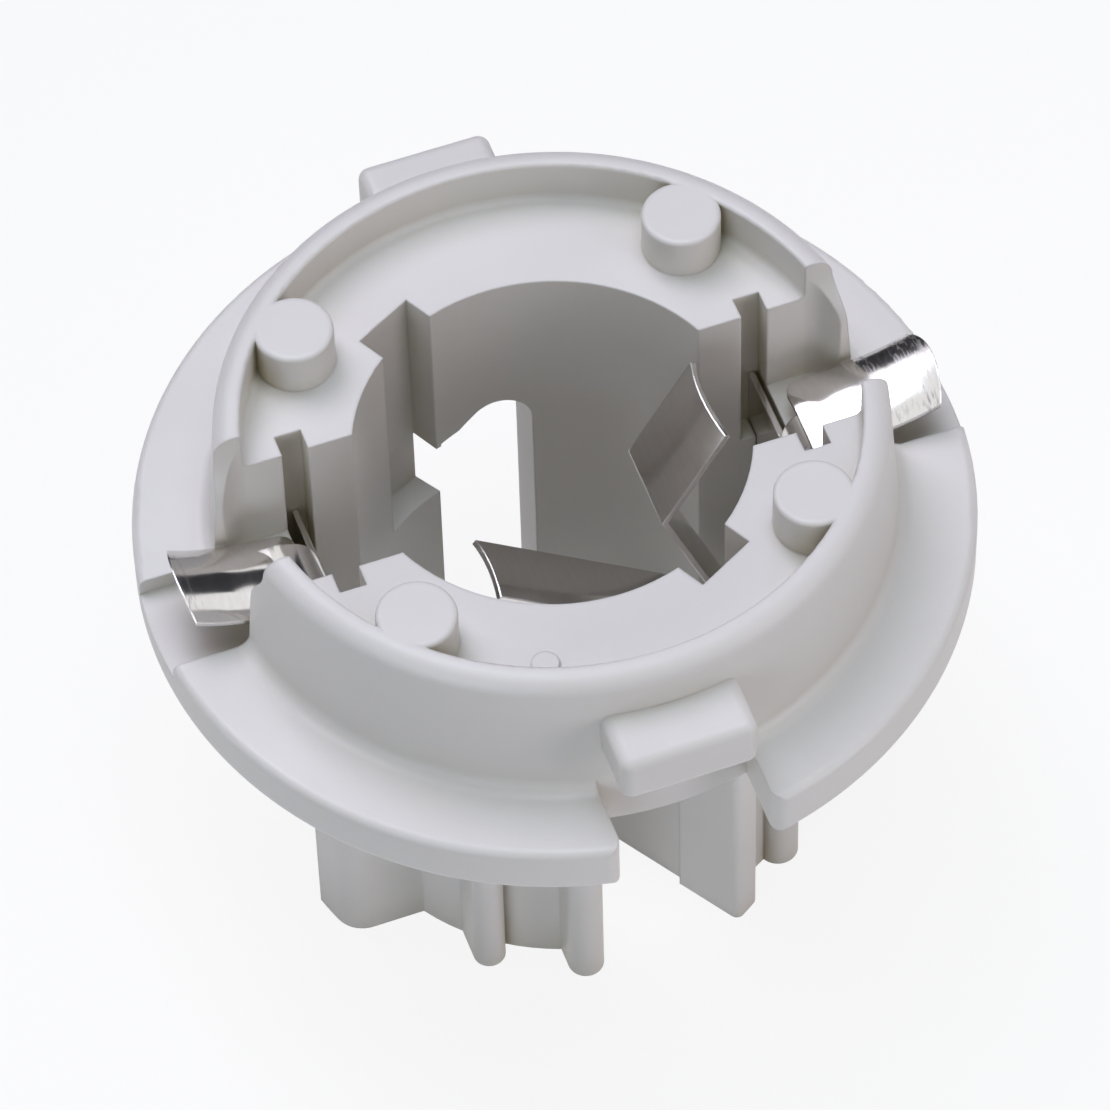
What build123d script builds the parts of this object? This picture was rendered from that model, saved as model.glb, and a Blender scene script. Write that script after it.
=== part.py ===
# Lamp holder for a bayonet bulb: one white moulding with a sprung side contact and a sprung base contact, in mm
import os

from build123d import *

os.makedirs("parts", exist_ok=True)

# bore for the bulb cap, and the tube that hangs below the flange
bore_radius = 7.9
tube_wall = 1.5
tube_radius = bore_radius + tube_wall
tube_length = 15.86
flange_thickness = 2.34
flange_top = tube_length + flange_thickness

# tapered collar on the flange, with a recessed floor inside its rim
rim_inner_radius = 12.2
rim_wall = 1.05
collar_draft = 0.45
collar_top_radius = rim_inner_radius + rim_wall
collar_base_radius = collar_top_radius + collar_draft
flange_width = 3.13
flange_radius = collar_base_radius + flange_width
rim_rise = 6.24
floor_rise = 4.2
rim_top = flange_top + rim_rise
floor_top = flange_top + floor_rise
rim_round = 0.8
flange_round = 0.35
root_round = 0.6
floor_round = 0.3
fine_round = 0.15

# cross channel, with a slot on each side wall that takes the edge of a contact plate
channel_width = 6.1
channel_reach = 10.2
slot_width = 1.1
slot_span = 8.0
slot_step_drop = 4.0
slot_drop = 9.0
slot_step = flange_top - slot_step_drop
slot_bottom = flange_top - slot_drop
recess_width = 4.3
recess_depth = 0.8
recess_floor = flange_top - recess_depth

# mouths of the channel, where the ends of the collar close in to the recess below and lean open at the top
mouth_start = 11.8
mouth_end = 13.0
mouth_rise = 3.0
mouth_lean_end = 5.6

# chambers below the flange round the contacts, the right one shorter
chamber_radius = 12.1
chamber_width = 10.14
chamber_round = 1.3
chamber_start = 7.0
left_chamber_bottom = 0.0
right_chamber_bottom = 3.0
left_end_wall_bottom = 5.6

# bayonet entry notches, each with a side passage at its foot
notch_angle = 118.3
notch_width = 2.74
notch_reach = 9.05
notch_drop = 7.65
notch_shelf = flange_top - notch_drop
passage_turn = 8.0
passage_height = 2.95
passage_side = 1.2

# side windows with the cam edge a bulb pin rides along, seen from the front
window_right = 2.25
detent_middle = -0.3
detent_radius = 1.45
detent_drop = 3.27
detent_top = flange_top - detent_drop
ramp_start_drop = 0.28
ramp_foot_drop = 1.03
cam_lip_drop = 1.28
ramp_start = (0.55, detent_top - ramp_start_drop)
ramp_foot = (1.4, detent_top - ramp_foot_drop)
cam_lip = detent_top - cam_lip_drop

# straight ribs as middle along the channel, width and reach, and the slanted ribs beside the notches
rib_places = [(-6.07, 1.35, 8.6), (-2.5, 1.5, 10.45), (6.85, 1.7, 8.1)]
slant_angle = 32.7
slant_face = -2.03
slant_width = 1.4
slant_reach = 10.66
slant_round = 0.35
pad_reach = 9.6
pad_width = 2.3

# pegs standing on the recessed floor, and a low pip
peg_radius = 1.6
peg_inset = 1.22
peg_circle = rim_inner_radius - peg_inset
peg_angle = 42.0
peg_round = 0.2
pip_place = (-3.9, -10.0)
pip_radius = 0.55
pip_height = 0.12

# twist lugs on the collar, over gaps in the flange with rounded mouths
lug_width = 5.6
lug_overlap = 0.55
lug_overhang = 2.0
lug_start = collar_top_radius - lug_overlap
lug_reach = collar_base_radius + lug_overhang
lug_rise = 4.3
lug_top = flange_top + lug_rise
lug_height = 2.4
lug_round = 0.5
gap_width = 6.24
gap_overlap = 0.05
gap_inner_radius = collar_base_radius - gap_overlap
gap_round = 0.6
gap_side = gap_width / 2 + gap_round
gap_mouth = (flange_radius**2 - gap_side**2) ** 0.5

# bar under the base contact, and the thinner brace that carries it as the front slanted rib runs on inward
bar_start = -10.2
bar_end = 6.2
bar_width = 4.4
bar_height = 1.3
tie_length = 2.0
tie_width = 7.0
brace_start = 8.4
brace_end = 1.7
brace_top = 6.5
brace_setback = 0.25

# sheet metal contacts, their plates held in the narrow lower part of the slots
sheet = 0.25
slide_gap = 0.03
left_plate_middle = 9.6
right_plate_middle = 9.9
plate_width = slot_span - 2 * slide_gap
plate_top_gap = 0.1
plate_top = recess_floor - plate_top_gap
plate_bottom = slot_bottom + slide_gap
plate_lap = 1.0

# arched outer leaves: distance from the axis, height of the edges over the flange and crown, then the rounded end
leaf_width = 3.72
leaf_start = 10.45
leaf_corner = 0.5
right_leaf = [(10.2, 0.4, 0.15), (11.8, 0.66, 0.4), (13.0, 0.8, 0.62), (14.4, 1.04, 0.75), (16.5, 1.93, 0.75)]
left_leaf = [(10.2, 0.4, 0.3), (11.8, 0.86, 0.5), (13.0, 1.05, 0.65), (14.4, 1.44, 0.75), (16.5, 2.65, 0.75)]
right_leaf_end = (15.77, 16.1)
left_leaf_end = (15.5, 15.75)

# necks that carry the leaves: both sides, height over the flange and the end under the leaf
right_neck = (-1.1, 0.5, 0.7, 12.2)
left_neck = (-1.1, 1.1, 1.15, 12.4)
neck_bend = 2.0

# side contact spring, given as distance from the axis and height
side_width = 3.9
side_foot_drop = 12.4
side_foot = flange_top - side_foot_drop
side_foot_start = 8.3
side_foot_round = 0.6
side_bend_drop = 0.83
side_free_rise = 3.75
side_bend = (3.97, flange_top - side_bend_drop)
side_free = (6.64, flange_top + side_free_rise)
side_arch = 0.3

# base contact spring, its run along the bar, return bend and blade
blade_width = 3.0
blade_tip_drop = 3.15
blade_foot_drop = 9.4
blade_tip = (-2.95, flange_top - blade_tip_drop)
blade_foot = (5.0, flange_top - blade_foot_drop)
blade_arch = 0.2
run_height = bar_height + slide_gap + sheet / 2
run_end = 2.48
run_bend = 1.0
flat_arch = 0.01


# a lug and a peg with soft edges, joined to the body later
with BuildPart() as lug:
    with Locations((0, (lug_start + lug_reach) / 2, lug_top - lug_height / 2)):
        Box(lug_width, lug_reach - lug_start, lug_height)
    fillet(lug.edges().sort_by(Axis.Y)[4:], lug_round)

with BuildPart() as peg:
    with Locations((peg_circle, 0, (floor_top + rim_top) / 2)):
        Cylinder(peg_radius, rim_top - floor_top)
    fillet(peg.edges().sort_by(Axis.Z)[-1], peg_round)

with BuildPart() as holder_body:
    # flange, collar and tube turned in one profile
    with BuildSketch(Plane.XZ) as body_profile:
        with BuildLine():
            Polyline(
                (0, 0),
                (tube_radius, 0),
                (tube_radius, tube_length),
                (flange_radius, tube_length),
                (flange_radius, flange_top),
                (collar_base_radius, flange_top),
                (collar_top_radius, rim_top),
                (rim_inner_radius, rim_top),
                (rim_inner_radius, floor_top),
                (0, floor_top),
                close=True,
            )
        make_face()
        for corner, soft in [
            ((flange_radius, tube_length), flange_round),
            ((flange_radius, flange_top), flange_round),
            ((collar_base_radius, flange_top), root_round),
            ((collar_top_radius, rim_top), rim_round),
            ((rim_inner_radius, rim_top), fine_round),
            ((rim_inner_radius, floor_top), floor_round),
        ]:
            fillet(body_profile.vertices().sort_by_distance(corner)[0], soft)
    revolve(axis=Axis.Z)

    # chambers round the contacts, their end walls stopping short of the left one's foot
    for side, bottom in [(-1, left_chamber_bottom), (1, right_chamber_bottom)]:
        with BuildSketch(Plane.XY.offset(bottom)) as chamber:
            Circle(chamber_radius)
            with Locations((side * (chamber_start + chamber_radius) / 2, 0)):
                Rectangle(chamber_radius - chamber_start, chamber_width, mode=Mode.INTERSECT)
            fillet(chamber.vertices().sort_by_distance((0, 0))[-2:], chamber_round)
        extrude(amount=tube_length - bottom)

    # straight ribs with round noses, pads behind the notches, and slanted ribs
    with BuildSketch():
        for middle, width, reach in rib_places:
            with PolarLocations(0, 2):
                with Locations((middle, -reach / 2)):
                    SlotOverall(reach, width, rotation=90)
        with PolarLocations(0, 2, start_angle=notch_angle):
            with Locations(((bore_radius + pad_reach) / 2, pad_width / 2)):
                Rectangle(pad_reach - bore_radius, pad_width)
    extrude(amount=tube_length)
    for turn in (0, 180):
        with BuildSketch(Plane.XY.rotated((0, 0, slant_angle + turn))) as slant:
            with Locations((slant_face + slant_width / 2, -slant_reach / 2)):
                Rectangle(slant_width, slant_reach)
            fillet(slant.vertices().sort_by(Axis.Y)[:2], slant_round)
        extrude(amount=tube_length)

    # lugs on the collar and the gaps under them
    with PolarLocations(0, 2):
        add(lug.part)
    with BuildSketch(Plane.XY.offset(tube_length)):
        Rectangle(2 * gap_side, 2 * flange_radius)
        with Locations((-gap_side, 0), (gap_side, 0)):
            SlotOverall(2 * gap_mouth, 2 * gap_round, rotation=90, mode=Mode.SUBTRACT)
        Circle(gap_inner_radius, mode=Mode.SUBTRACT)
    extrude(amount=flange_thickness + root_round, mode=Mode.SUBTRACT)

    # bore, entry notches and their passages
    with BuildSketch():
        Circle(bore_radius)
    extrude(amount=floor_top, mode=Mode.SUBTRACT)
    with BuildSketch(Plane.XY.offset(notch_shelf)):
        with PolarLocations(notch_reach / 2, 2, start_angle=notch_angle):
            Rectangle(notch_reach, notch_width)
    extrude(amount=floor_top - notch_shelf, mode=Mode.SUBTRACT)
    with BuildSketch(Plane.XY.offset(notch_shelf)):
        with PolarLocations(notch_reach / 2, 2, start_angle=notch_angle - passage_turn):
            Rectangle(notch_reach, notch_width)
    extrude(amount=passage_height, mode=Mode.SUBTRACT)

    # windows, front and back, with the cam edge along their tops
    for turn in (0, 180):
        with BuildSketch(Plane.XZ.rotated((0, 0, turn))):
            with BuildLine():
                Polyline(
                    (detent_middle - detent_radius, detent_top - detent_radius),
                    (detent_middle - detent_radius, 0),
                    (window_right, 0),
                    (window_right, cam_lip),
                    ramp_foot,
                    ramp_start,
                )
                ThreePointArc(
                    ramp_start,
                    (detent_middle, detent_top),
                    (detent_middle - detent_radius, detent_top - detent_radius),
                )
            make_face()
        extrude(amount=chamber_radius, mode=Mode.SUBTRACT)
        with BuildSketch(Plane.XY.rotated((0, 0, slant_angle + turn))):
            with Locations((slant_face - passage_side / 2, -chamber_radius / 2)):
                Rectangle(passage_side, chamber_radius)
        extrude(amount=notch_shelf + passage_height, mode=Mode.SUBTRACT)

    # channel right through the middle, the plate slots, and the shallow recess out to the flange edge
    with BuildSketch():
        Rectangle(2 * channel_reach, channel_width)
    extrude(amount=rim_top, mode=Mode.SUBTRACT)
    with BuildSketch():
        with Locations((-chamber_radius, 0)):
            Rectangle(2 * (chamber_radius - slot_width), channel_width)
    extrude(amount=left_end_wall_bottom, mode=Mode.SUBTRACT)
    with BuildSketch(Plane.XY.offset(slot_step)):
        with Locations((slot_width / 2 - channel_reach, 0), (channel_reach - slot_width / 2, 0)):
            Rectangle(slot_width, slot_span)
    extrude(amount=rim_top - slot_step, mode=Mode.SUBTRACT)
    with BuildSketch(Plane.XY.offset(slot_bottom)):
        with Locations((-left_plate_middle, 0), (right_plate_middle, 0)):
            Rectangle(sheet + 2 * slide_gap, slot_span)
    extrude(amount=slot_step - slot_bottom, mode=Mode.SUBTRACT)
    with BuildSketch(Plane.XY.offset(recess_floor)):
        with BuildLine():
            Spline(
                (mouth_start, channel_width / 2),
                (mouth_end, recess_width / 2),
                tangents=((1, 0), (1, -1)),
            )
            Polyline(
                (mouth_end, recess_width / 2),
                (flange_radius, recess_width / 2),
                (flange_radius, 0),
                (0, 0),
                (0, channel_width / 2),
                (mouth_start, channel_width / 2),
            )
        make_face()
        mirror(about=Plane.YZ)
        mirror(about=Plane.XZ)
    extrude(amount=rim_top - recess_floor, mode=Mode.SUBTRACT)

    # the ends of the collar lean open towards the top
    with BuildSketch(Plane.YZ):
        with BuildLine():
            Spline(
                (recess_width / 2, flange_top + mouth_rise),
                (channel_width / 2, flange_top + mouth_lean_end),
                tangents=((0, 1), (0, 1)),
            )
            Polyline(
                (channel_width / 2, flange_top + mouth_lean_end),
                (channel_width / 2, rim_top),
                (0, rim_top),
                (0, flange_top + mouth_rise),
                (recess_width / 2, flange_top + mouth_rise),
            )
        make_face()
        mirror(about=Plane.YZ)
    extrude(amount=flange_radius, both=True, mode=Mode.SUBTRACT)

    # pegs and pip on the recessed floor
    for angle in (peg_angle, -peg_angle):
        with PolarLocations(0, 2, start_angle=angle):
            add(peg.part)
    with BuildSketch(Plane.XY.offset(floor_top)):
        with Locations(pip_place):
            Circle(pip_radius)
    extrude(amount=pip_height)

    # bar under the base contact, tied across the channel at its left end, and its brace
    with BuildSketch():
        with Locations(((bar_start + bar_end) / 2, 0)):
            Rectangle(bar_end - bar_start, bar_width)
        with Locations((bar_start + tie_length / 2, 0)):
            Rectangle(tie_length, tie_width)
    extrude(amount=bar_height)
    brace_width = slant_width - brace_setback
    with BuildSketch(Plane.XY.rotated((0, 0, slant_angle))):
        with Locations((slant_face + brace_setback + brace_width / 2, -(brace_start + brace_end) / 2)):
            Rectangle(brace_width, brace_start - brace_end)
    extrude(amount=brace_top)

# outer half of each contact: arched leaf, neck and slot plate, drawn on the right hand side
outer_halves = []
for stations, ends, neck, plate_middle in [
    (right_leaf, right_leaf_end, right_neck, right_plate_middle),
    (left_leaf, left_leaf_end, left_neck, left_plate_middle),
]:
    half = leaf_width / 2
    near, far, neck_rise, neck_end = neck
    neck_top = flange_top + neck_rise
    with BuildPart() as outer_half:
        for distance, height, crown in stations:
            with BuildSketch(Plane.YZ.offset(distance)):
                with BuildLine():
                    edge = flange_top + height
                    ThreePointArc((-half, edge), (0, edge + crown), (half, edge))
                    Line((half, edge), (half, edge - sheet))
                    ThreePointArc((half, edge - sheet), (0, edge - sheet + crown), (-half, edge - sheet))
                    Line((-half, edge - sheet), (-half, edge))
                make_face()
        loft()
        with BuildSketch(Plane.XY.offset(flange_top)) as outline:
            with BuildLine():
                Polyline((ends[0], -half), (leaf_start, -half), (leaf_start, half), (ends[0], half))
                ThreePointArc((ends[0], half), (ends[1], 0), (ends[0], -half))
            make_face()
            fillet(outline.vertices().sort_by(Axis.X)[:2], leaf_corner)
        extrude(amount=rim_rise, mode=Mode.INTERSECT)
        with BuildSketch(Plane.XZ.offset(-near)):
            with BuildLine() as neck_line:
                Polyline((neck_end, neck_top), (plate_middle, neck_top), (plate_middle, plate_top - plate_lap))
                fillet(neck_line.vertices().sort_by_distance((plate_middle, neck_top))[0], neck_bend)
                offset(amount=sheet / 2, side=Side.BOTH)
            make_face()
        extrude(amount=near - far)
        with Locations((plate_middle, 0, (plate_top + plate_bottom) / 2)):
            Box(sheet, plate_width, plate_top - plate_bottom)
    outer_halves.append(outer_half.part)

# side contact: the spring hangs down in the right chamber, turns up and leans into the bore
side_lean = Vector(side_free[0] - side_bend[0], 0, side_free[1] - side_bend[1])
with BuildPart() as side_contact:
    add(outer_halves[0])
    with BuildSketch(Plane.XZ):
        with BuildLine() as side_line:
            Polyline(
                (right_plate_middle, plate_bottom + plate_lap),
                (right_plate_middle, side_foot),
                (side_foot_start, side_foot),
                side_bend,
            )
            fillet(side_line.vertices().sort_by(Axis.Y)[:2], side_foot_round)
            offset(amount=sheet / 2, side=Side.BOTH)
        make_face()
    extrude(amount=side_width / 2, both=True)
    for share, arch in [(0, flat_arch), (0.5, side_arch / 2), (1, side_arch)]:
        station = Vector(side_bend[0], 0, side_bend[1]) + side_lean * share
        with BuildSketch(Plane(origin=station, x_dir=(0, 1, 0), z_dir=side_lean)):
            with BuildLine():
                half = side_width / 2
                ThreePointArc((-half, sheet / 2), (0, sheet / 2 + arch), (half, sheet / 2))
                Line((half, sheet / 2), (half, -sheet / 2))
                ThreePointArc((half, -sheet / 2), (0, arch - sheet / 2), (-half, -sheet / 2))
                Line((-half, -sheet / 2), (-half, sheet / 2))
            make_face()
    loft()

# base contact: down the left chamber, along the bar, round the return bend and up the blade
blade_lean = Vector(blade_tip[0] - blade_foot[0], 0, blade_tip[1] - blade_foot[1])
with BuildPart() as base_contact:
    add(outer_halves[1].rotate(Axis.Z, 180))
    with BuildSketch(Plane.XZ):
        with BuildLine() as base_line:
            Polyline(
                (-left_plate_middle, plate_bottom + plate_lap),
                (-left_plate_middle, run_height),
                (run_end, run_height),
            )
            fillet(base_line.vertices().sort_by_distance((-left_plate_middle, run_height))[0], run_bend)
            TangentArc((run_end, run_height), blade_foot, tangent=(1, 0))
            offset(amount=sheet / 2, side=Side.BOTH)
        make_face()
    extrude(amount=blade_width / 2, both=True)
    for share, arch in [(0, flat_arch), (0.5, blade_arch / 2), (1, blade_arch)]:
        station = Vector(blade_foot[0], 0, blade_foot[1]) + blade_lean * share
        with BuildSketch(Plane(origin=station, x_dir=(0, -1, 0), z_dir=blade_lean)):
            with BuildLine():
                half = blade_width / 2
                ThreePointArc((-half, sheet / 2), (0, sheet / 2 + arch), (half, sheet / 2))
                Line((half, sheet / 2), (half, -sheet / 2))
                ThreePointArc((half, -sheet / 2), (0, arch - sheet / 2), (-half, -sheet / 2))
                Line((-half, -sheet / 2), (-half, sheet / 2))
            make_face()
    loft()

for piece, name in [
    (holder_body, "holder_body"),
    (side_contact, "side_contact"),
    (base_contact, "base_contact"),
]:
    piece.part.label = name
    export_step(piece.part, f"parts/{name}.step")
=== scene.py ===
import math

import bpy
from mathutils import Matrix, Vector

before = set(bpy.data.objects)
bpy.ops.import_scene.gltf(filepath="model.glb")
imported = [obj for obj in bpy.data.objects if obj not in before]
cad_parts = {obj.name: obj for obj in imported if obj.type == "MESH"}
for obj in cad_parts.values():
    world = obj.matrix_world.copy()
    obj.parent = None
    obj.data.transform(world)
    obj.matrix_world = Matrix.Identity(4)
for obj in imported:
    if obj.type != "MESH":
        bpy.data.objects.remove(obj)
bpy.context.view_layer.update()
bpy.ops.object.select_all(action="DESELECT")
print("frame loaded:", ", ".join(sorted(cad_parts)))


# small helpers for the shader trees

def addNode(tree, kind, place, **values):
    node = tree.nodes.new(kind)
    node.location = place
    for name, value in values.items():
        if hasattr(node, name):
            setattr(node, name, value)
        else:
            node.inputs[name.replace("_", " ")].default_value = value
    return node


firstColour, secondColour, colourOut = 6, 7, 2  # sockets of a Mix node set to colours


def addMix(tree, place, first, second):
    node = addNode(tree, "ShaderNodeMix", place, data_type="RGBA")
    node.inputs[firstColour].default_value = first
    node.inputs[secondColour].default_value = second
    return node


def addRange(tree, place, source, band, span=(0.0, 1.0)):
    # band is stretched to span, and what lies past its ends is held there
    node = addNode(tree, "ShaderNodeMapRange", place)
    node.inputs["From Min"].default_value, node.inputs["From Max"].default_value = band
    node.inputs["To Min"].default_value, node.inputs["To Max"].default_value = span
    tree.links.new(source, node.inputs["Value"])
    return node.outputs["Result"]


def addProduct(tree, place, first, second):
    node = addNode(tree, "ShaderNodeMath", place, operation="MULTIPLY")
    tree.links.new(first, node.inputs[0])
    tree.links.new(second, node.inputs[1])
    return node.outputs["Value"]


def addBump(tree, place, height, normal, distance):
    node = addNode(tree, "ShaderNodeBump", place, Strength=1.0, Distance=distance)
    tree.links.new(height, node.inputs["Height"])
    tree.links.new(normal, node.inputs["Normal"])
    return node.outputs["Normal"]


def startGroup(name, inputs, outputs):
    tree = bpy.data.node_groups.new(name, "ShaderNodeTree")
    for label, kind, start in inputs:
        socket = tree.interface.new_socket(label, in_out="INPUT", socket_type=kind)
        if start is not None:
            socket.default_value = start
    for label, kind in outputs:
        tree.interface.new_socket(label, in_out="OUTPUT", socket_type=kind)
    entry = addNode(tree, "NodeGroupInput", (-900, 0))
    leave = addNode(tree, "NodeGroupOutput", (700, 0))
    return tree, entry, leave


def placeGroup(tree, group, place, **values):
    node = tree.nodes.new("ShaderNodeGroup")
    node.node_tree = group
    node.location = place
    for name, value in values.items():
        node.inputs[name].default_value = value
    return node


def newMaterial(name):
    material = bpy.data.materials.new(name)
    material.use_nodes = True
    material.node_tree.nodes.clear()
    return material, material.node_tree


# effects shared by the moulding and the spring strip

def makeGrain():
    # fine tooth and broad cloudiness, both as values round a half
    tree, entry, leave = startGroup(
        "fineGrain",
        [
            ("Vector", "NodeSocketVector", None),
            ("Fine", "NodeSocketFloat", 9000.0),
            ("Broad", "NodeSocketFloat", 260.0),
        ],
        [("Tooth", "NodeSocketFloat"), ("Cloud", "NodeSocketFloat")],
    )
    fine = addNode(tree, "ShaderNodeTexNoise", (-500, 150), Detail=3.0, Roughness=0.62)
    broad = addNode(tree, "ShaderNodeTexNoise", (-500, -150), Detail=2.5, Roughness=0.5)
    for noise, size in ((fine, "Fine"), (broad, "Broad")):
        tree.links.new(entry.outputs["Vector"], noise.inputs["Vector"])
        tree.links.new(entry.outputs[size], noise.inputs["Scale"])
    tree.links.new(fine.outputs["Fac"], leave.inputs["Tooth"])
    tree.links.new(broad.outputs["Fac"], leave.inputs["Cloud"])
    return tree


def makeSoftEdge():
    # how near a sharp edge is, and the normal that rounds it a little
    tree, entry, leave = startGroup(
        "softEdge",
        [("Radius", "NodeSocketFloat", 0.0002), ("Spread", "NodeSocketFloat", 6.0)],
        [("Edge", "NodeSocketFloat"), ("Normal", "NodeSocketVector")],
    )
    rounded = addNode(tree, "ShaderNodeBevel", (-500, 0), samples=4)
    face = addNode(tree, "ShaderNodeNewGeometry", (-500, -220))
    apart = addNode(tree, "ShaderNodeVectorMath", (-280, -80), operation="DISTANCE")
    spread = addNode(tree, "ShaderNodeMath", (-60, -80), operation="MULTIPLY", use_clamp=True)
    tree.links.new(entry.outputs["Radius"], rounded.inputs["Radius"])
    tree.links.new(rounded.outputs["Normal"], apart.inputs[0])
    tree.links.new(face.outputs["Normal"], apart.inputs[1])
    tree.links.new(apart.outputs["Value"], spread.inputs[0])
    tree.links.new(entry.outputs["Spread"], spread.inputs[1])
    tree.links.new(spread.outputs["Value"], leave.inputs["Edge"])
    tree.links.new(rounded.outputs["Normal"], leave.inputs["Normal"])
    return tree


fineGrain = makeGrain()
softEdge = makeSoftEdge()


# white moulding, a slightly translucent satin plastic

moulding = {
    "pale": (0.675, 0.655, 0.602, 1.0),
    "deep": (0.645, 0.622, 0.565, 1.0),
    # painted highlight colour, laid along sharp edges
    "edgeHighlightTone": (0.715, 0.70, 0.66, 1.0),
    # painted shade colour, laid into slots and corners
    "creviceShadeTone": (0.38, 0.335, 0.20, 1.0),
    "creviceReach": 0.003,
    "creviceBand": (0.12, 0.43),
    "roughness": (0.40, 0.52),
    "roughnessBand": (0.3, 0.7),
    "toothScale": 5200.0,
    "cloudScale": 170.0,
    "toothHeight": 0.000006,
    "waveHeight": 0.00003,
    "edgeRadius": 0.00016,
    "edgeSpread": 1.1,
    "edgeShare": 0.5,
    "glowWeight": 0.12,
    "glowDepth": 0.0007,
    "glowRadius": (1.0, 0.75, 0.45),
    "refraction": 1.5,
}


def makeMoulding():
    material, tree = newMaterial("whitePlastic")
    link = tree.links.new
    output = addNode(tree, "ShaderNodeOutputMaterial", (900, 0))
    shader = addNode(tree, "ShaderNodeBsdfPrincipled", (600, 0))
    place = addNode(tree, "ShaderNodeTexCoord", (-1000, 0))
    grain = placeGroup(tree, fineGrain, (-780, 0), Fine=moulding["toothScale"], Broad=moulding["cloudScale"])
    edge = placeGroup(
        tree, softEdge, (-780, -300), Radius=moulding["edgeRadius"], Spread=moulding["edgeSpread"]
    )
    link(place.outputs["Object"], grain.inputs["Vector"])

    tone = addMix(tree, (-480, 160), moulding["pale"], moulding["deep"])
    link(grain.outputs["Cloud"], tone.inputs["Factor"])
    # painted highlight: the colour is lightened along sharp edges
    paintedHighlight = addNode(tree, "ShaderNodeMath", (-480, -80), operation="MULTIPLY")
    paintedHighlight.inputs[1].default_value = moulding["edgeShare"]
    link(edge.outputs["Edge"], paintedHighlight.inputs[0])
    highlightedTone = addMix(tree, (-220, 160), moulding["pale"], moulding["edgeHighlightTone"])
    link(paintedHighlight.outputs["Value"], highlightedTone.inputs["Factor"])
    link(tone.outputs[colourOut], highlightedTone.inputs[firstColour])

    # painted shade: ambient occlusion paints narrow slots and corners darker and warmer
    hidden = addNode(
        tree, "ShaderNodeAmbientOcclusion", (-480, 420), samples=2, Distance=moulding["creviceReach"]
    )
    shadedTone = addMix(tree, (60, 160), moulding["pale"], moulding["creviceShadeTone"])
    depth = addRange(tree, (-220, 420), hidden.outputs["AO"], moulding["creviceBand"], (1.0, 0.0))
    link(depth, shadedTone.inputs["Factor"])
    link(highlightedTone.outputs[colourOut], shadedTone.inputs[firstColour])
    link(shadedTone.outputs[colourOut], shader.inputs["Base Color"])

    cloud = grain.outputs["Cloud"]
    sheen = addRange(tree, (-220, -60), cloud, moulding["roughnessBand"], moulding["roughness"])
    link(sheen, shader.inputs["Roughness"])

    wave = addBump(tree, (0, -260), cloud, edge.outputs["Normal"], moulding["waveHeight"])
    tooth = addBump(tree, (220, -260), grain.outputs["Tooth"], wave, moulding["toothHeight"])
    link(tooth, shader.inputs["Normal"])

    shader.inputs["IOR"].default_value = moulding["refraction"]
    shader.inputs["Subsurface Weight"].default_value = moulding["glowWeight"]
    shader.inputs["Subsurface Radius"].default_value = moulding["glowRadius"]
    shader.inputs["Subsurface Scale"].default_value = moulding["glowDepth"]
    link(shader.outputs["BSDF"], output.inputs["Surface"])
    return material


# bright rolled spring strip

strip = {
    "bright": (0.80, 0.785, 0.775, 1.0),
    "dull": (0.68, 0.655, 0.64, 1.0),
    # painted highlight colour, laid along the strip's sharp edges
    "edgeGlintTone": (0.95, 0.94, 0.93, 1.0),
    "roughness": (0.09, 0.20),
    "roughnessBand": (0.35, 0.65),
    "scratchTurn": (0.3, 0.5, 1.1),
    "scratchStretch": (1.0, 0.03, 0.4),
    "scratchScale": 9000.0,
    "scratchBand": (0.50, 0.66),
    "patchBand": (0.50, 0.62),
    "leafBand": (0.0125, 0.0145),
    "scratchRoughness": 0.30,
    "scratchShade": (0.36, 0.345, 0.34, 1.0),
    "rollStretch": (1.0, 0.045, 1.0),
    "rollScale": 5200.0,
    "cloudScale": 420.0,
    "rollHeight": 0.0000014,
    "dentHeight": 0.00003,
    "edgeRadius": 0.0001,
    "edgeSpread": 1.0,
}


def addScratches(tree, position, cloud):
    # thin scratches in patches, on the outer leaves that rub in the lamp
    across = addNode(tree, "ShaderNodeMapping", (-1000, -560))
    across.inputs["Rotation"].default_value = strip["scratchTurn"]
    across.inputs["Scale"].default_value = strip["scratchStretch"]
    hair = addNode(
        tree, "ShaderNodeTexNoise", (-780, -560), Scale=strip["scratchScale"], Detail=2.0, Roughness=0.5
    )
    tree.links.new(position, across.inputs["Vector"])
    tree.links.new(across.outputs["Vector"], hair.inputs["Vector"])
    thin = addRange(tree, (-560, -560), hair.outputs["Fac"], strip["scratchBand"])
    where = addRange(tree, (-560, -800), cloud, strip["patchBand"])
    sides = addNode(tree, "ShaderNodeSeparateXYZ", (-1000, -1000))
    outward = addNode(tree, "ShaderNodeMath", (-780, -1000), operation="ABSOLUTE")
    tree.links.new(position, sides.inputs["Vector"])
    tree.links.new(sides.outputs["X"], outward.inputs[0])
    leaf = addRange(tree, (-560, -1000), outward.outputs["Value"], strip["leafBand"])
    area = addProduct(tree, (-340, -800), where, leaf)
    return addProduct(tree, (-340, -560), thin, area)


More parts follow.
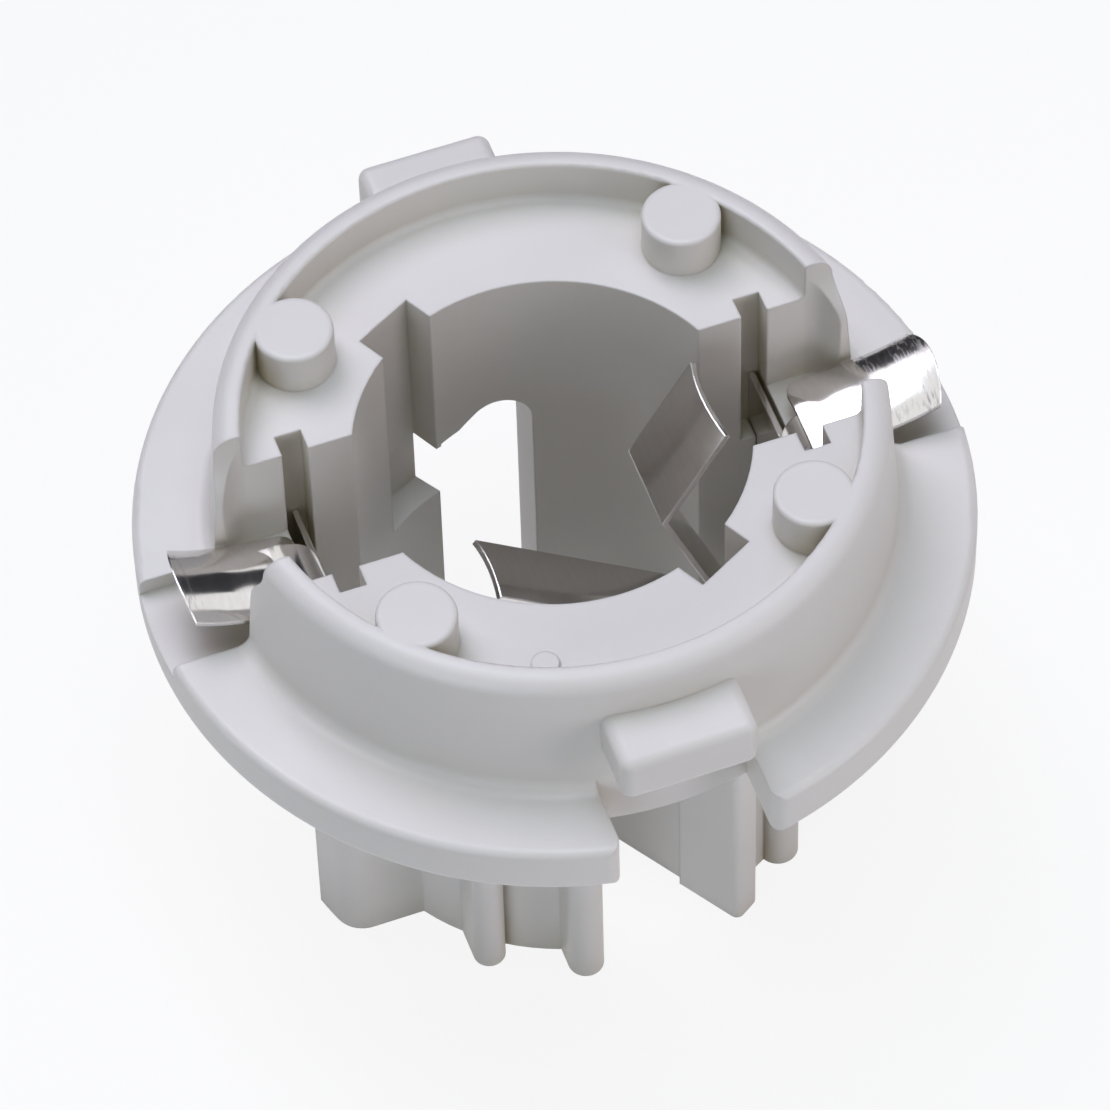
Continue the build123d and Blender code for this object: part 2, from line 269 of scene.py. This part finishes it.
def makeStrip():
    material, tree = newMaterial("brightStrip")
    link = tree.links.new
    output = addNode(tree, "ShaderNodeOutputMaterial", (900, 0))
    shader = addNode(tree, "ShaderNodeBsdfPrincipled", (600, 0))
    place = addNode(tree, "ShaderNodeTexCoord", (-1200, 0))
    along = addNode(tree, "ShaderNodeMapping", (-1000, 0))
    along.inputs["Scale"].default_value = strip["rollStretch"]
    grain = placeGroup(tree, fineGrain, (-780, 0), Fine=strip["rollScale"], Broad=strip["cloudScale"])
    edge = placeGroup(tree, softEdge, (-780, -300), Radius=strip["edgeRadius"], Spread=strip["edgeSpread"])
    link(place.outputs["Object"], along.inputs["Vector"])
    link(along.outputs["Vector"], grain.inputs["Vector"])
    scratches = addScratches(tree, place.outputs["Object"], grain.outputs["Cloud"])

    tone = addMix(tree, (-480, 160), strip["dull"], strip["bright"])
    link(grain.outputs["Tooth"], tone.inputs["Factor"])
    # painted highlight: the colour is lightened along the strip's sharp edges
    paintedHighlight = addMix(tree, (-220, 160), strip["bright"], strip["edgeGlintTone"])
    link(edge.outputs["Edge"], paintedHighlight.inputs["Factor"])
    link(tone.outputs[colourOut], paintedHighlight.inputs[firstColour])
    marked = addMix(tree, (60, 160), strip["bright"], strip["scratchShade"])
    link(scratches, marked.inputs["Factor"])
    link(paintedHighlight.outputs[colourOut], marked.inputs[firstColour])
    link(marked.outputs[colourOut], shader.inputs["Base Color"])

    polish = addRange(tree, (-220, -60), grain.outputs["Cloud"], strip["roughnessBand"], strip["roughness"])
    rough = addNode(tree, "ShaderNodeMath", (-120, -560), operation="MULTIPLY_ADD")
    rough.inputs[1].default_value = strip["scratchRoughness"]
    link(scratches, rough.inputs[0])
    link(polish, rough.inputs[2])
    link(rough.outputs["Value"], shader.inputs["Roughness"])

    dents = addBump(tree, (0, -260), grain.outputs["Cloud"], edge.outputs["Normal"], strip["dentHeight"])
    rolled = addBump(tree, (220, -260), grain.outputs["Tooth"], dents, strip["rollHeight"])
    link(rolled, shader.inputs["Normal"])

    shader.inputs["Metallic"].default_value = 1.0
    link(shader.outputs["BSDF"], output.inputs["Surface"])
    return material


finishes = {"white_plastic": makeMoulding(), "bright_metal": makeStrip()}
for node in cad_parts.values():
    slotName = node.data.materials[0].name.split(".")[0]
    for slot in node.material_slots:
        slot.link = "OBJECT"
        slot.material = finishes[slotName]
print("finishes placed")


# plain studio: floor, soft lamps, camera at the photograph's angle

studio = {
    "floorSize": 3.0,
    "floorHeight": -0.00002,
    "floorShade": 0.80,
    "floorWhite": 0.88,
    "worldShade": 0.07,
    "worldTint": (1.0, 0.76, 0.58),
    "aim": (0.0, 0.0, 0.012),
    "lampSize": 0.28,
    "lamps": [
        # name, place, power, tint
        ("topSoftbox", (0.0, 0.0, 0.512), 0.96, (0.73, 0.84, 0.97)),
        ("backSoftbox", (-0.086, 0.235, 0.445), 1.38, (0.82, 0.79, 0.96)),
        ("rightSoftbox", (0.122, 0.044, 0.495), 0.38, (0.70, 0.75, 0.96)),
        ("leftSoftbox", (-0.343, -0.343, 0.133), 0.72, (0.72, 0.81, 0.95)),
        ("frontSoftbox", (0.343, -0.343, 0.133), 0.82, (0.93, 0.88, 0.96)),
    ],
    "cards": [
        # name, place, width, height, turn in degrees: dark, for the metal to mirror
        ("backCard", (0.02, 0.078, 0.0375), 0.20, 0.075, 0.0),
        ("rightCard", (0.177, 0.094, 0.165), 0.15, 0.23, -62.0),
    ],
    "cardShade": 0.05,
}


def shownRays(tree, place):
    # one where the background shows: to the camera, in glossy surfaces and through glass
    rays = addNode(tree, "ShaderNodeLightPath", place)
    seen = addNode(tree, "ShaderNodeMath", (place[0] + 220, place[1]), operation="MAXIMUM")
    shown = addNode(tree, "ShaderNodeMath", (place[0] + 440, place[1]), operation="MAXIMUM")
    tree.links.new(rays.outputs["Is Camera Ray"], seen.inputs[0])
    tree.links.new(rays.outputs["Is Glossy Ray"], seen.inputs[1])
    tree.links.new(seen.outputs["Value"], shown.inputs[0])
    tree.links.new(rays.outputs["Is Transmission Ray"], shown.inputs[1])
    return shown.outputs["Value"]


def makeFloor():
    bpy.ops.mesh.primitive_plane_add(size=studio["floorSize"], location=(0.0, 0.0, studio["floorHeight"]))
    floor = bpy.context.active_object
    floor.name = "studioFloor"
    material, tree = newMaterial("paleFloor")
    output = addNode(tree, "ShaderNodeOutputMaterial", (500, 0))
    lit = addNode(tree, "ShaderNodeBsdfDiffuse", (-200, 100))
    shade = studio["floorShade"]
    lit.inputs["Color"].default_value = (shade, shade, shade, 1.0)
    plain = addNode(tree, "ShaderNodeEmission", (-200, -100))
    plain.inputs["Strength"].default_value = 1.0
    part = addNode(tree, "ShaderNodeMath", (0, 300), operation="MULTIPLY")
    part.inputs[1].default_value = studio["floorWhite"]
    both = addNode(tree, "ShaderNodeMixShader", (250, 0))
    tree.links.new(shownRays(tree, (-700, 300)), part.inputs[0])
    tree.links.new(part.outputs["Value"], both.inputs["Fac"])
    tree.links.new(lit.outputs["BSDF"], both.inputs[1])
    tree.links.new(plain.outputs["Emission"], both.inputs[2])
    tree.links.new(both.outputs["Shader"], output.inputs["Surface"])
    floor.data.materials.append(material)


def makeWorld():
    world = bpy.data.worlds.new("studioWorld")
    bpy.context.scene.world = world
    world.use_nodes = True
    tree = world.node_tree
    tree.nodes.clear()
    output = addNode(tree, "ShaderNodeOutputWorld", (600, 0))
    soft = addNode(tree, "ShaderNodeBackground", (0, 100))
    soft.inputs["Color"].default_value = (*studio["worldTint"], 1.0)
    soft.inputs["Strength"].default_value = studio["worldShade"]
    white = addNode(tree, "ShaderNodeBackground", (0, -100))
    white.inputs["Color"].default_value = (1.0, 1.0, 1.0, 1.0)
    pick = addNode(tree, "ShaderNodeMixShader", (300, 0))
    tree.links.new(shownRays(tree, (-500, 300)), pick.inputs["Fac"])
    tree.links.new(soft.outputs["Background"], pick.inputs[1])
    tree.links.new(white.outputs["Background"], pick.inputs[2])
    tree.links.new(pick.outputs["Shader"], output.inputs["Surface"])


def makeLamps():
    for name, place, power, tint in studio["lamps"]:
        bpy.ops.object.light_add(type="AREA", location=place)
        lamp = bpy.context.active_object
        lamp.name = name
        lamp.data.size = studio["lampSize"]
        lamp.data.energy = power
        lamp.data.color = tint
        lamp.rotation_euler = (Vector(studio["aim"]) - Vector(place)).to_track_quat("-Z", "Y").to_euler()


def makeCards():
    # dark cards behind the part, seen in the metal but not by the camera
    material, tree = newMaterial("darkCard")
    output = addNode(tree, "ShaderNodeOutputMaterial", (300, 0))
    matt = addNode(tree, "ShaderNodeBsdfDiffuse", (0, 0))
    shade = studio["cardShade"]
    matt.inputs["Color"].default_value = (shade, shade, shade, 1.0)
    clear = addNode(tree, "ShaderNodeBsdfTransparent", (0, -150))
    rays = addNode(tree, "ShaderNodeLightPath", (-200, 300))
    either = addNode(tree, "ShaderNodeMixShader", (150, 0))
    tree.links.new(rays.outputs["Is Camera Ray"], either.inputs["Fac"])
    tree.links.new(matt.outputs["BSDF"], either.inputs[1])
    tree.links.new(clear.outputs["BSDF"], either.inputs[2])
    tree.links.new(either.outputs["Shader"], output.inputs["Surface"])
    for name, place, width, height, turn in studio["cards"]:
        bpy.ops.mesh.primitive_plane_add(size=1.0, location=place)
        card = bpy.context.active_object
        card.name = name
        card.scale = (width, height, 1.0)
        card.rotation_euler = (math.radians(90.0), 0.0, math.radians(turn))
        card.data.materials.append(material)


viewpoint = {
    "place": (-0.05406, -0.16174, 0.25242),
    "target": (-0.00084, -0.0024, 0.0182),
    "roll": -1.822,
    "lens": 236.27,
    "sensor": 36.0,
    "near": 0.01,
    "far": 10.0,
}


def makeCamera():
    bpy.ops.object.camera_add(location=viewpoint["place"])
    camera = bpy.context.active_object
    camera.name = "photoCamera"
    camera.data.sensor_width = viewpoint["sensor"]
    camera.data.lens = viewpoint["lens"]
    camera.data.clip_start = viewpoint["near"]
    camera.data.clip_end = viewpoint["far"]
    aim = Vector(viewpoint["target"]) - Vector(viewpoint["place"])
    camera.rotation_euler = aim.to_track_quat("-Z", "Y").to_euler()
    camera.rotation_euler.rotate_axis("Z", math.radians(viewpoint["roll"]))
    bpy.context.scene.camera = camera


makeFloor()
makeWorld()
makeLamps()
makeCards()
makeCamera()
bpy.context.scene.view_settings.view_transform = "Standard"
print("studio and camera placed")
